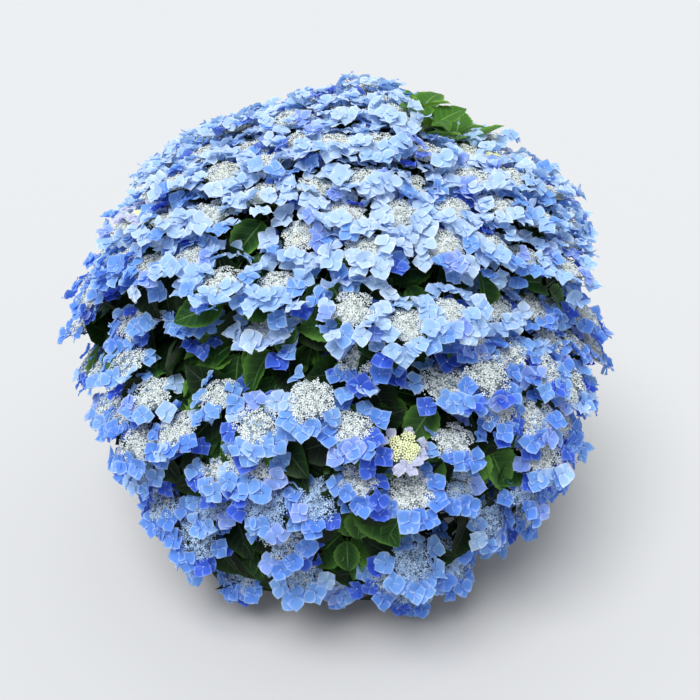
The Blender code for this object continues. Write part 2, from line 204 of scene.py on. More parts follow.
# A fertile flower of radius 1: a fan of wedges with gaps in it, which leave three broad petals.
FLOWER_WEDGES = 10
FLOWER_GAPS = (1, 4, 7, 8)  # counted round from +X
PETAL_CUP = 0.35
# A leaf of length 1.
LEAF_HALF_WIDTH = 0.365
LEAF_SHOULDER = 0.72
LEAF_FULLNESS = 0.80  # less than 1 makes its outline blunter
LEAF_QUILT = 0.010  # how far the blade swells between its side veins
LEAF_QUILTS = 7
LEAF_QUILT_SWEEP = 4
LEAF_NECK = 0.35  # where an arched leaf is back at the height of its root
LEAF_FORESHORTENING = 0.12  # how far an arch of 1 draws a leaf's tip in

# Boughs and twigs inside each mass. Shares run from the crown's centre to the mass's surface.
STEM_START = 0.50
STEM_END = 0.62
FORK_SHARE = 0.73
FORK_PULL = 1.6  # how much more a bough's fork follows its shoots than its mass
SHOOTS_ON_BOUGH = 4
CURVE = 0.45  # length of an arc's straight end, for a stem or a span of 1
BOUGH_STEPS = 5
TWIG_STEPS = 6
# Rods: the radius at each end, the number of sides, and how old the bark is, from 0, green, to 1, brown.
Rod = namedtuple("Rod", "radii sides age")
STEM = Rod((0.0062, 0.0052), 7, 0.9)
BOUGH = Rod((0.0052, 0.0040), 6, 0.8)
TWIG = Rod((0.0036, 0.0026), 5, (0.1, 0.6))  # of any age between these
RAY = Rod((0.0013, 0.0008), 3, 0.1)
FLORET_STALK = Rod((0.0013, 0.0008), 3, 0.2)
LEAF_STALK = Rod((0.0013, 0.0011), 3, 0.3)

# Leaves stand in pairs on the twigs, each pair across the one below: where along the twig, and how long.
BOUGH_NODES = ((0.45, 0.115), (0.62, 0.120), (0.80, 0.125), (0.96, 0.125))
LEAF_NODES = ((0.10, 0.120), (0.30, 0.125), (0.50, 0.120), (0.76, 0.104))
ROSETTE_NODES = ((0.25, 0.115), (0.50, 0.125), (0.70, 0.132), (0.86, 0.122), (0.97, 0.090))
PAIR_SCATTER = 0.25  # radians
LEAF_STALK_LENGTH = 0.016
LEAF_STALK_SWEEP = 0.5
LEAF_DROOP = (0.25, 0.75)
ROSETTE_DROOP = (0.70, 1.90)
LEAF_UPTURN = 0.35  # how much a leaf's face turns up, and out from the crown
LEAF_OUTTURN = 0.25
LEAF_SIZE = (0.82, 1.12)
OUTER_SHARE = 0.6  # how far along the twig the leaves that show begin
# Leaves inside and some under a head are near-black: painted shade.
SHADED_SHARE = 0.4  # of those, under a head, that are as dark as the inner ones
LEAF_SWEEP = (0.00, 0.30)  # how far they point along the twig
BRIGHT_SWEEP = (0.20, 0.90)

# The canes: the curve of each, and its bark.
CANE_RADIUS = (0.0105, 0.0062)
CANE_UPRIGHT = 0.018
CANE_LEAN = 1.25
CANE_BEND = 0.62
CANE_RINGS = 44
CANE_SIDES = 10
CANE_ROOT = 0.004  # how far a cane reaches down into the stool
CANE_JOINTS = 5
JOINT_SWELLING = 0.16
JOINT_SHARPNESS = 16
CANE_RELIEF = 0.16
CANE_STRIP = (0.004, 0.030)
BARK_LAYERS = (1.0, 2.0, 3)  # of fractal noise: how fast they fade, how much finer each is, and how many

# The stool: radius and height of its rings from the ground up, its lobes, its bark and the cut stubs on it.
STOOL_HEIGHT = 0.058
STOOL_RINGS = (
    (0.136, 0.000),
    (0.124, 0.010),
    (0.108, 0.030),
    (0.100, 0.048),
    (0.094, STOOL_HEIGHT),
    (0.074, STOOL_HEIGHT + 0.005),
    (0.040, STOOL_HEIGHT + 0.008),
    (0.006, STOOL_HEIGHT + 0.009),
)
STOOL_ROWS = 30
STOOL_SIDES = 90
STOOL_LOBES = 5
STOOL_LOBE_DEPTH = 0.16
STOOL_RELIEF = 0.09
STOOL_STRIP = (0.014, 0.040)
STUBS = 6
STUB_PLACE = 0.066
STUB_SCATTER = 0.3  # of a step round the stool
STUB_ROOT = 0.010
STUB_LEAN = 0.3
STUB_RISES = (0.0, 0.012, 0.024, 0.034)
STUB_RADII = (0.0100, 0.0088, 0.0082, 0.0080)

# The view: the crown fills a circle of this radius about this point of a frame of 700 by 700 pixels.
FRAME_PIXELS = 700
CROWN_PIXEL = (347, 340)
CROWN_RADIUS_PIXELS = 268
CROWN_RADIUS = 0.655
VIEW_ELEVATION = math.radians(29)
VIEW_DISTANCE = 2.5
SENSOR = 0.036

# The studio.
FLOOR_SIZE = 60
FLOOR_COLOUR = (0.45, 0.45, 0.45)
AIR_COLOUR = (0.90, 0.95, 1.0)
AIR_LIGHT = 0.87
KEY_LIGHT = 3.9
KEY_SPREAD = math.radians(35)
KEY_PLACE = (-25, 62)  # azimuth and elevation


# ---------------- the rule that places everything


def crown_reach(direction):
    """Distance from the crown's centre to its surface along a unit direction."""
    half_height = RISE if direction.z > 0 else DROP
    x, y, z = direction.x / HALF_WIDTH, direction.y / HALF_DEPTH, direction.z / half_height
    return 1 / math.sqrt(x * x + y * y + z * z)


class Mass:
    """One mass of the crown: all that lies nearest to its direction, inside the walls to the others."""

    def __init__(self, tier, name, direction, swell, foot_radius):
        self.tier = tier
        self.name = name
        self.direction = direction
        self.swell = swell
        self.cane_foot = direction.xy.normalized() * foot_radius
        self.walls = []
        self.shoots = []

    def point(self, direction, share):
        """A point at a share of the way from the crown's centre to this mass's cushioned surface."""
        angle = self.direction.angle(direction)
        dip = 1 - EDGE_DIP * min(angle / EDGE_ANGLE, EDGE_LIMIT) ** 2
        return CROWN_CENTRE + direction * crown_reach(direction) * self.swell * dip * share


def lay_out_masses():
    rng = random.Random(SEED)
    masses = []
    for tier, count, elevation, first, foot_radius in TIERS:
        for i in range(count):
            azimuth = first + 360 / count * i + rng.uniform(-TIER_SCATTER, TIER_SCATTER)
            tilt = elevation + rng.uniform(-TIER_SCATTER, TIER_SCATTER)
            name = tier if count == 1 else f"{tier}_{i + 1}"
            direction = direction_of(azimuth, tilt)
            masses.append(Mass(tier, name, direction, rng.uniform(*SWELL_RANGE), foot_radius))
    for mass in masses:
        mass.walls = [(mass.direction - m.direction).normalized() for m in masses if m is not mass]
    return masses


class Shoot:
    """The end of one twig: a flower head, or a rosette of leaves where the crown opens."""

    def __init__(self, mass, direction, rng):
        self.mass = mass
        self.level = rng.uniform(*LEVEL_RANGE)
        self.room = rng.uniform(*ROOM_RANGE)
        self.size = rng.uniform(*HEAD_SIZE)
        self.flowering, self.bright, self.young = True, False, False
        self.tilt = rng.uniform(0, math.tau), math.radians(rng.uniform(0, HEAD_TILT_SCATTER))
        self.move_to(direction)

    @property
    def scale(self):
        return self.size * (YOUNG_SIZE if self.young else 1)

    @property
    def sunny(self):
        return self.direction.z > SUNNY

    @property
    def low(self):
        return self.direction.z < LOW

    def bear_leaves(self, level, bright=False):
        self.flowering, self.bright, self.level = False, bright, level
        self.move_to(self.direction)

    def move_to(self, direction):
        self.direction = direction
        shelf = SHELF * (self.mass.direction.z - direction.z)
        self.point = self.mass.point(direction, self.level + shelf)

    def facing(self):
        """The way the head faces: between straight out and straight up, a little scattered."""
        up = Vector((0, 0, 1))
        tilt = up.angle(self.direction) * HEAD_UPTURN
        side = up.cross(self.direction).normalized()
        facing = Matrix.Rotation(tilt, 3, side) @ up
        turn, lean = self.tilt
        across = Matrix.Rotation(turn, 3, facing) @ side
        return (Matrix.Rotation(lean, 3, across) @ facing).normalized()


def golden_directions(count):
    """Unit vectors spread evenly over a sphere, from the top down."""
    for i in range(count):
        z = 1 - (2 * i + 1) / count
        ring = math.sqrt(1 - z * z)
        yield Vector((ring * math.cos(GOLDEN_ANGLE * i), ring * math.sin(GOLDEN_ANGLE * i), z))


def lay_out_shoots(masses):
    """Even places for the shoots, each settled clear of its mass's walls."""
    rng = random.Random(SEED + 1)
    area = 4 * math.pi * HALF_WIDTH * HALF_DEPTH
    shoots = []
    for direction in golden_directions(round(area / (SHOOT_SPACING**2 * math.sqrt(3) / 2))):
        grows = direction.z > SPARSE_BELOW or rng.random() > SPARSE_SHARE
        if direction.z > LOWEST_SHOOT and grows:
            mass = max(masses, key=lambda m: m.direction.dot(direction))
            shoots.append(Shoot(mass, direction, rng))
    for _ in range(SETTLE_ROUNDS):
        settle(shoots)
    for place in LEAFY_PLACES:
        nearest_flowering(shoots, place).bear_leaves(rng.uniform(*LEAFY_SET_BACK))
    for shoot in shoots:
        if shoot.direction.angle(BRIGHT_PLACE) < BRIGHT_ANGLE:
            shoot.bear_leaves(BRIGHT_SET_BACK, bright=True)
        shoot.mass.shoots.append(shoot)
    for place in YOUNG_PLACES:
        nearest_flowering(shoots, place).young = True


def nearest_flowering(shoots, place):
    """The flowering shoot nearest to a place on the crown, given by azimuth and elevation."""
    direction = direction_of(*place)
    flowering = [shoot for shoot in shoots if shoot.flowering]
    return min(flowering, key=lambda shoot: shoot.direction.angle(direction))


def settle(shoots):
    """One round of moving shoots apart from each other, then back inside their masses' walls."""
    points = np.array([shoot.point for shoot in shoots])
    room = np.array([shoot.room for shoot in shoots])
    between = points[:, None] - points[None]
    distance = np.linalg.norm(between, axis=2) + np.eye(len(points)) * FAR_OFF
    wanted = SHOOT_SPACING * (room[:, None] + room[None]) / 2
    short = np.maximum(wanted - distance, 0) * SETTLE_SHARE
    moved = points + (between / distance[..., None] * short[..., None]).sum(axis=1)
    for shoot, place in zip(shoots, moved):
        from_centre = Vector(place) - CROWN_CENTRE
        for wall in shoot.mass.walls:
            from_centre += wall * max(WALL_ROOM - from_centre.dot(wall), 0)
        direction = from_centre.normalized()
        direction.z = max(direction.z, LOWEST_SHOOT)
        shoot.move_to(direction.normalized())


# ---------------- small shapes, modelled once


def fresh_mesh(primitive, **settings):
    """A new mesh from one of the primitives, and the only thing that is selected."""
    bpy.ops.object.select_all(action="DESELECT")
    primitive(**settings)
    return bpy.context.object


def add_object(name, data):
    piece = bpy.data.objects.new(name, data)
    bpy.context.scene.collection.objects.link(piece)
    return piece


def edit_all(operator, **settings):
    """Uses an edit mode operator on the whole of the newest mesh."""
    bpy.ops.object.mode_set(mode="EDIT")
    bpy.ops.mesh.select_all(action="SELECT")
    operator(**settings)
    bpy.ops.object.mode_set(mode="OBJECT")


class Shape:
    """A small modelled mesh as arrays: its points, its triangles and their corners' places on its UV map."""

    def __init__(self, piece):
        edit_all(bpy.ops.mesh.quads_convert_to_tris)
        mesh = piece.data
        self.points = np.array([v.co for v in mesh.vertices])
        self.corners = np.array([p.vertices for p in mesh.polygons])
        spots = np.array([spot.uv for spot in mesh.uv_layers.active.data])
        self.uvs = spots.reshape(-1, 3, 2)
        bpy.data.objects.remove(piece)


def flat_blank(rows, columns):
    """A grid that is 0 to 1 along X and -1 to 1 across it, to be bent into a sepal or a leaf."""
    grid = {"x_subdivisions": rows, "y_subdivisions": columns, "size": 2}
    blank = fresh_mesh(bpy.ops.mesh.primitive_grid_add, **grid)
    for vertex in blank.data.vertices:
        vertex.co.x = (vertex.co.x + 1) / 2
    return blank


def close_ends():
    """Merges the points that meet at a blade's root and tip."""
    edit_all(bpy.ops.mesh.remove_doubles, threshold=0.00001)


def model_floret(variant):
    """A floret of radius 1 that faces +Z: four broad pointed sepals, no two of them quite alike."""
    rng = random.Random(f"{SEED} floret {variant}")
    rise = rng.uniform(*FLORET_PITCH)
    sepals = []
    for quarter in range(4):
        sepal = model_sepal(rng)
        lean = Matrix.Rotation(-math.radians(rise + rng.uniform(*SEPAL_PITCH)), 4, "Y")
        turn = Matrix.Rotation(math.pi / 2 * quarter + rng.uniform(-SEPAL_YAW, SEPAL_YAW), 4, "Z")
        sepal.data.transform(Matrix.Translation((0, 0, FLORET_STEP * (quarter % 2))) @ turn @ lean)
        sepals.append(sepal)
    for sepal in sepals:
        sepal.select_set(True)
    bpy.ops.object.join()
    return Shape(sepals[-1])


def model_sepal(rng):
    """One sepal along +X, folded or cupped a little and wavy at its rim."""
    length, width, point = rng.uniform(*SEPAL_LENGTH), rng.uniform(*SEPAL_WIDTH), rng.uniform(*SEPAL_POINT)
    cup, fold = rng.uniform(*SEPAL_CUP), rng.uniform(*SEPAL_FOLD)
    wave, phase = rng.uniform(*SEPAL_WAVE), rng.uniform(0, math.tau)
    sepal = flat_blank(SEPAL_ROWS, columns=2)
    for vertex in sepal.data.vertices:
        u, s = vertex.co.x, vertex.co.y
        half = width * math.sin(math.pi * u**SEPAL_SHOULDER) ** point if 0 < u < 1 else 0.0
        lift = cup * u * u + fold * abs(s) * half + wave * math.sin(SEPAL_WAVE_TURNS * u + phase) * s
        vertex.co = (u * length, s * half, lift)
    close_ends()
    return sepal


def model_flower():
    """A fertile flower of radius 1: a shallow cup of broad petals with gaps between them."""
    disc = {"vertices": FLOWER_WEDGES, "fill_type": "TRIFAN", "calc_uvs": True}
    flower = fresh_mesh(bpy.ops.mesh.primitive_circle_add, **disc)
    for vertex in flower.data.vertices:
        at_rim = vertex.co.xy.length > 0.5
        vertex.co.z = PETAL_CUP if at_rim else 0.0
    bpy.ops.object.mode_set(mode="EDIT")
    bpy.ops.mesh.select_mode(type="FACE")
    bpy.ops.mesh.select_all(action="DESELECT")
    bpy.ops.object.mode_set(mode="OBJECT")
    for face in flower.data.polygons:
        wedge = math.atan2(face.center.y, face.center.x) / math.tau * FLOWER_WEDGES
        face.select = round(wedge) % FLOWER_WEDGES in FLOWER_GAPS
    bpy.ops.object.mode_set(mode="EDIT")
    bpy.ops.mesh.delete(type="FACE")
    bpy.ops.object.mode_set(mode="OBJECT")
    return Shape(flower)


def model_ball(segments, rings, depth):
    """A round bud of radius 1, or a cushion if it is less deep below its middle."""
    sphere = {"segments": segments, "ring_count": rings, "calc_uvs": True}
    ball = fresh_mesh(bpy.ops.mesh.primitive_uv_sphere_add, **sphere)
    for vertex in ball.data.vertices:
        vertex.co.z = max(vertex.co.z, vertex.co.z * depth)
    return Shape(ball)


def model_leaf(rows, columns, arch, fold, teeth):
    """A toothed oval leaf of length 1 that lies along +X and faces +Z, folded up along its midrib."""
    blade = flat_blank(rows, columns)
    for vertex in blade.data.vertices:
        u, s = vertex.co.x, vertex.co.y
        outline = math.sin(math.pi * u**LEAF_SHOULDER) if 0 < u < 1 else 0.0
        half = LEAF_HALF_WIDTH * outline**LEAF_FULLNESS
        at_rim = abs(s) > 0.99
        if at_rim and round(u * rows) % 2:
            half *= 1 - teeth
        quilt = LEAF_QUILT * math.sin(u * math.pi * LEAF_QUILTS - abs(s) * LEAF_QUILT_SWEEP) * abs(s)
        lift = fold * abs(s) * half - arch * (u * u - LEAF_NECK * u) + quilt
        vertex.co = (u * (1 - LEAF_FORESHORTENING * arch * u), s * half, lift)
    close_ends()
    return Shape(blade)


# ---------------- copies, joined as one mesh


UP = np.array((0.0, 0.0, 1.0))


def spoke(angle):
    """The level unit vector at an angle from +X."""
    return np.array((math.cos(angle), math.sin(angle), 0.0))


def turns_facing(normals, spins):
    """Rotations that take +Z to each normal, and turn the shape round it by each spin."""
    normals = normals / np.linalg.norm(normals, axis=1, keepdims=True)
    steep = np.abs(normals[:, 2:]) > 0.9
    helper = np.where(steep, (1.0, 0.0, 0.0), (0.0, 0.0, 1.0))
    across = np.cross(helper, normals)
    across /= np.linalg.norm(across, axis=1, keepdims=True)
    along = np.cross(normals, across)
    c, s = np.cos(spins)[:, None], np.sin(spins)[:, None]
    return np.stack((across * c + along * s, along * c - across * s, normals), axis=-1)


def rings_along(line, radii, sides):
    """Round rings of points on a line, that don't twist as it bends."""
    along = np.gradient(line, axis=0)
    along /= np.linalg.norm(along, axis=1, keepdims=True)
    steep = abs(along[0][2]) > 0.5
    across = np.cross(along[0], (0.3, 0.9, 0.1) if steep else (0.0, 0.1, 1.0))
    angles = np.arange(sides) * math.tau / sides
    rings = []
    for centre, radius, axis in zip(line, radii, along):
        across = across - axis * across.dot(axis)
        across /= np.linalg.norm(across)
        side = np.cross(axis, across)
        rings.append(centre + radius * (np.cos(angles)[:, None] * across + np.sin(angles)[:, None] * side))
    return np.array(rings)


class Pile:
    """Small shapes of one kind, gathered to be joined into one mesh."""

    def __init__(self):
        self.points, self.corners, self.uvs, self.tints, self.chances = [], [], [], [], []
        self.count = 0

    def add(self, shape, turns, places, tints, chances):
        """Copies of a shape: for each a turn with its size in it, a place, a tint and a chance, 0 to 1."""
        copies, size = len(places), len(shape.points)
        points = np.einsum("nij,pj->npi", turns, shape.points) + np.asarray(places)[:, None]
        first = self.count + np.arange(copies)[:, None, None] * size
        self.points.append(points.reshape(-1, 3))
        self.corners.append((shape.corners[None] + first).reshape(-1, 3))
        self.uvs.append(np.tile(shape.uvs.reshape(-1, 2), (copies, 1)))
        self.tints.append(np.repeat(tints, len(shape.corners)))
        self.chances.append(np.repeat(chances, size))
        self.count += copies * size

    def add_one(self, shape, turn, place, tint, chance):
        self.add(shape, turn[None], np.array(place)[None], [tint], [chance])

    def add_rod(self, line, rod):
        """A round rod along a line of points, that tapers evenly."""
        self.add_skin(rings_along(np.array(line), np.linspace(*rod.radii, len(line)), rod.sides), rod.age)

    def add_skin(self, rings, chance=0.5):
        """A skin over rings of points, closed at both ends."""
        count, sides = rings.shape[:2]
        row, side = np.divmod(np.arange((count - 1) * sides), sides)
        low, right = row * sides + side, row * sides + (side + 1) % sides
        walls = np.stack((low, right, right + sides, low, right + sides, low + sides), 1).reshape(-1, 3)
        fan = np.array([(0, k + 1, k) for k in range(1, sides - 1)])
        corners = np.concatenate((walls, fan, fan[:, ::-1] + (count - 1) * sides))
        spots = np.stack(np.divmod(np.arange(count * sides), sides), 1) / (count - 1, sides)
        self.uvs.append(spots[corners].reshape(-1, 2))
        self.points.append(rings.reshape(-1, 3))
        self.corners.append(corners + self.count)
        self.tints.append(np.zeros(len(corners), int))
        self.chances.append(np.full(count * sides, chance))
        self.count += count * sides

    def join(self, name, finishes, slot, nodes):
        """The whole pile as one smooth piece that stands for some of the plant's solids."""
        points, corners = np.concatenate(self.points), np.concatenate(self.corners)
        mesh = bpy.data.meshes.new(name)
        mesh.vertices.add(len(points))
        mesh.vertices.foreach_set("co", points.astype(np.float32).ravel())
        mesh.loops.add(corners.size)
        mesh.loops.foreach_set("vertex_index", corners.astype(np.int32).ravel())
        mesh.polygons.add(len(corners))
        mesh.polygons.foreach_set("loop_start", np.arange(0, corners.size, 3, dtype=np.int32))
        mesh.polygons.foreach_set("material_index", np.concatenate(self.tints).astype(np.int32))
        mesh.polygons.foreach_set("use_smooth", np.ones(len(corners), bool))
        layer = mesh.uv_layers.new(name="blade")
        layer.uv.foreach_set("vector", np.concatenate(self.uvs).astype(np.float32).ravel())
        chance = mesh.attributes.new("chance", "FLOAT", "POINT")
        chance.data.foreach_set("value", np.concatenate(self.chances).astype(np.float32))
        mesh.update(calc_edges=True)
        mesh.validate()
        for finish in finishes:
            mesh.materials.append(finish)
        piece = add_object(name, mesh)
        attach(piece, "root")
        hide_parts(*nodes)


# ---------------- finishes


class Value:
    """A number that changes over a surface. Arithmetic on it adds Math nodes."""

    def __init__(self, finish, socket):
        self.finish, self.socket = finish, socket

    def math(self, operation, *others):
        node = self.finish.node("ShaderNodeMath", {"operation": operation}, (self, *others))
        return Value(self.finish, node.outputs[0])

    __add__ = __radd__ = partialmethod(math, "ADD")
    __sub__ = partialmethod(math, "SUBTRACT")
    __mul__ = __rmul__ = partialmethod(math, "MULTIPLY")
    __pow__ = partialmethod(math, "POWER")
    __abs__ = partialmethod(math, "ABSOLUTE")
    sine = partialmethod(math, "SINE")
    most = partialmethod(math, "MAXIMUM")

    def __rsub__(self, other):
        return self * -1 + other

    def ramp(self, low, high):
        """0 below low, 1 above high, and smooth between them."""
        settings = {"interpolation_type": "SMOOTHSTEP"}
        node = self.finish.node("ShaderNodeMapRange", settings, (self, low, high))
        return Value(self.finish, node.outputs[0])


class Finish:
    """One material: a Principled shader and the nodes that feed it."""

    def __init__(self, name, roughness, gloss=0.5):
        self.material = bpy.data.materials.new(name)
        self.material.use_nodes = True
        self.tree = self.material.node_tree
        self.shader = self.tree.nodes["Principled BSDF"]
        self.shader.inputs["Roughness"].default_value = roughness
        self.shader.inputs["Specular IOR Level"].default_value = gloss

    def node(self, kind, settings, inputs):
        """A node: its settings first, then its sockets' values or links, by order or by name.

        A colour is given as its red, green and blue.
        """
        node = self.tree.nodes.new(kind)
        for setting, value in settings.items():
            setattr(node, setting, value)
        named = inputs.items() if isinstance(inputs, dict) else enumerate(inputs)
        for key, value in named:
            if isinstance(value, Value):
                value = value.socket
            socket = node.inputs[key]
            if isinstance(value, bpy.types.NodeSocket):
                self.tree.links.new(value, socket)
            else:
                socket.default_value = (*value, 1) if socket.type == "RGBA" else value
        return node

    def place_on_blade(self):
        """How far along a blade a spot is, 0 to 1, and how far across it, from -1 to 1."""
        uv = self.node("ShaderNodeUVMap", {"uv_map": "blade"}, ())
        parts = self.node("ShaderNodeSeparateXYZ", {}, (uv.outputs["UV"],))
        return Value(self, parts.outputs["X"]), Value(self, parts.outputs["Y"]) * 2 - 1

    def chance(self):
        """A number from 0 to 1 that each copy of a shape has for itself."""
        given = self.node("ShaderNodeAttribute", {"attribute_name": "chance"}, ())
        return Value(self, given.outputs["Fac"])

    def grain(self, stretch=None, **sockets):
        """Fractal noise fixed to the plant, and drawn out where its stretch is less than 1."""
        place = self.node("ShaderNodeTexCoord", {}, ()).outputs["Object"]
        if stretch:
            place = self.node("ShaderNodeMapping", {}, {"Vector": place, "Scale": stretch}).outputs[0]
        noise_node = self.node("ShaderNodeTexNoise", {}, {"Vector": place, **sockets})
        return Value(self, noise_node.outputs["Fac"])

    def blend(self, first, second, factor):
        """A colour between two colours, through the Mix node's sockets for colours: 6 and 7 in, 2 out."""
        node = self.node("ShaderNodeMix", {"data_type": "RGBA"}, {0: factor, 6: first, 7: second})
        return node.outputs[2]

    def colour(self, socket):
        self.tree.links.new(socket, self.shader.inputs["Base Color"])

    def relief(self, height, distance, strength):
        inputs = {"Height": height, "Distance": distance, "Strength": strength}
        bump = self.node("ShaderNodeBump", {}, inputs)
        self.tree.links.new(bump.outputs["Normal"], self.shader.inputs["Normal"])

    def let_light_through(self, tint, share):
        """Mixes in light that comes through a thin blade from behind."""
        through = self.node("ShaderNodeBsdfTranslucent", {}, {"Color": tint})
        mixed = self.node("ShaderNodeMixShader", {}, (share, self.shader.outputs[0], through.outputs[0]))
        output = next(n for n in self.tree.nodes if n.type == "OUTPUT_MATERIAL")
        self.tree.links.new(mixed.outputs[0], output.inputs["Surface"])


SEPAL_VEINS = 30
SEPAL_VEIN_FAN = 9
SEPAL_VEIN_DARKNESS = 0.16
SEPAL_MARGIN = (0.80, 0.78, 0.93)
SEPAL_MARGIN_STRENGTH = 0.20
LEAF_RIBS = 44
LEAF_RIB_SWEEP = 0.22


def sepal_finish(name, heart, rim, through):
    """Soft petal colour, paler towards the rim, with fine veins that fan out from the heart."""
    finish = Finish(name, roughness=0.6, gloss=0.2)
    along, across = finish.place_on_blade()
    veins = (across * SEPAL_VEINS + along * across * SEPAL_VEIN_FAN).sine() * 0.5 + 0.5
    edge = (abs(across) ** 2.2).most((along - 0.55) * 1.9).ramp(0.15, 1.05)
    patch = finish.chance() * 0.35 - 0.17
    petal = finish.blend(heart, rim, (edge * 0.85 + patch).ramp(-0.1, 1.0))
    shade = tuple(0.72 * c for c in heart)
    veined = finish.blend(petal, shade, veins * SEPAL_VEIN_DARKNESS)
    margin = (abs(across) ** 7).most(along**9)
    finish.colour(finish.blend(veined, SEPAL_MARGIN, margin * SEPAL_MARGIN_STRENGTH))
    finish.relief(veins, distance=0.0004, strength=0.25)
    finish.let_light_through(through, share=0.44)
    return finish.material


def leaf_finish(name, deep, bright, through):
    """A leaf's upper side: pale midrib and side veins, brighter towards its edge as painted light, and
    brighter by a random amount for each leaf and in mottled patches.
    """
    finish = Finish(name, roughness=0.5, gloss=0.12)
    along, across = finish.place_on_blade()
    side = abs(across)
    midrib = 1 - side.ramp(0.015, 0.065)
    ribs = ((along - side * LEAF_RIB_SWEEP) * LEAF_RIBS).sine().ramp(0.90, 1.0) * (1 - side * 0.5)
    veins = midrib.most(ribs * 0.5)
    mottle = finish.grain(Scale=45, Detail=3)
    # Painted light: the blade turns to its bright colour towards the edge; each leaf's chance and the mottle
    # add random variation.
    margin = (side**3 * 0.75 + finish.chance() * 0.55 + mottle * 0.5 - 0.35).ramp(0.1, 1.1)
    blade = finish.blend(deep, bright, margin)
    pale = tuple(min(1, 1.2 * c + 0.05) for c in bright)
    finish.colour(finish.blend(blade, pale, veins * 0.6))
    finish.relief(veins * -1 + mottle * 0.4, distance=0.0010, strength=0.5)
    finish.let_light_through(through, share=0.22)
    return finish.material


def bark_finish(name, pale, dark, stretch):
    """Thin bark that peels in long strips."""
    finish = Finish(name, roughness=0.85, gloss=0.2)
    strips = finish.grain((1, 1, stretch), Scale=60, Detail=6, Roughness=0.65)
    finish.colour(finish.blend(dark, pale, strips.ramp(0.35, 0.70)))
    finish.relief(strips, distance=0.003, strength=0.8)
    return finish.material


def varied_finish(name, first, second, bias=1.5):
    """A soft colour for small things, a little different on each. A bias above 1 favours the first."""
    finish = Finish(name, roughness=0.6)
    finish.colour(finish.blend(first, second, finish.chance() ** bias))
    return finish.material


def floor_finish():
    finish = Finish("studio_floor", roughness=0.9, gloss=0.1)
    finish.shader.inputs["Base Color"].default_value = (*FLOOR_COLOUR, 1)
    return finish.material


# Sepals: at the heart, at the rim, and with light behind them. The sunlit and the palest ones are lighter
# copies for heads in the sun, painted sunlight; the darkest is a copy for florets in shade, painted shade.
SEPALS = (
    sepal_finish("sepal_sky", (0.185, 0.400, 0.785), (0.510, 0.720, 0.885), (0.10, 0.26, 0.86)),
    sepal_finish("sepal_cornflower", (0.120, 0.300, 0.750), (0.395, 0.620, 0.870), (0.06, 0.17, 0.86)),
    sepal_finish("sepal_sunlit", (0.385, 0.595, 0.840), (0.760, 0.870, 0.925), (0.24, 0.46, 0.88)),
    sepal_finish("sepal_pale", (0.510, 0.685, 0.865), (0.870, 0.920, 0.945), (0.32, 0.52, 0.88)),
    sepal_finish("sepal_lilac", (0.255, 0.405, 0.815), (0.590, 0.700, 0.905), (0.15, 0.24, 0.86)),
    sepal_finish("sepal_deep", (0.045, 0.125, 0.600), (0.160, 0.330, 0.780), (0.04, 0.07, 0.80)),
    sepal_finish("sepal_young", (0.560, 0.600, 0.760), (0.840, 0.840, 0.880), (0.38, 0.38, 0.66)),
)
SKY, CORNFLOWER, SUNLIT, SUNLIT_PALE, LILAC, SHADED_BLUE, YOUNG = range(7)
# What the florets of one head draw from, each tint as often as it stands here: the head's own tint, the odd
# ones among it, and those of the lower florets. The lighter tints of heads on top are painted sunlight, and
# the darkest blue among them is painted shade.
HIGHEST_TINTS = (SUNLIT, SUNLIT_PALE, SUNLIT_PALE, SUNLIT_PALE)
SUNNY_TINTS = (SUNLIT, SUNLIT, SUNLIT, SUNLIT_PALE, SKY)
SIDE_TINTS = (SKY, SKY, CORNFLOWER, CORNFLOWER, CORNFLOWER)
SUNNY_ODD_TINTS = (SUNLIT_PALE, SUNLIT, SKY, LILAC)
SIDE_ODD_TINTS = (SUNLIT, SKY, LILAC, SHADED_BLUE)
SUNNY_UNDER_TINTS = (SUNLIT, SKY, SKY, SHADED_BLUE)
# Fertile flowers, buds and the soft body under them: the lightest and the darkest of each. The ivory flowers
# and the sunny body go to heads in the sun, painted sunlight; low heads take the icy blue flowers and the
# shade body, painted shade.
BLOSSOM = (
    varied_finish("flower_white", (0.57, 0.61, 0.59), (0.39, 0.44, 0.44)),
    varied_finish("flower_ice", (0.35, 0.48, 0.66), (0.17, 0.28, 0.46)),
    varied_finish("flower_ivory", (0.70, 0.71, 0.60), (0.52, 0.54, 0.45)),
    varied_finish("flower_cream", (0.72, 0.74, 0.46), (0.50, 0.55, 0.28)),
    varied_finish("bud_blue", (0.24, 0.34, 0.50), (0.07, 0.12, 0.22)),
    varied_finish("disc_sunny", (0.46, 0.50, 0.43), (0.33, 0.37, 0.32)),
    varied_finish("disc_pale", (0.31, 0.35, 0.33), (0.21, 0.25, 0.24)),
    varied_finish("disc_shade", (0.15, 0.21, 0.27), (0.09, 0.13, 0.17)),
)
WHITE, ICE, IVORY, CREAM, BUD, DISC_SUNNY, DISC_PALE, DISC_SHADE = range(8)
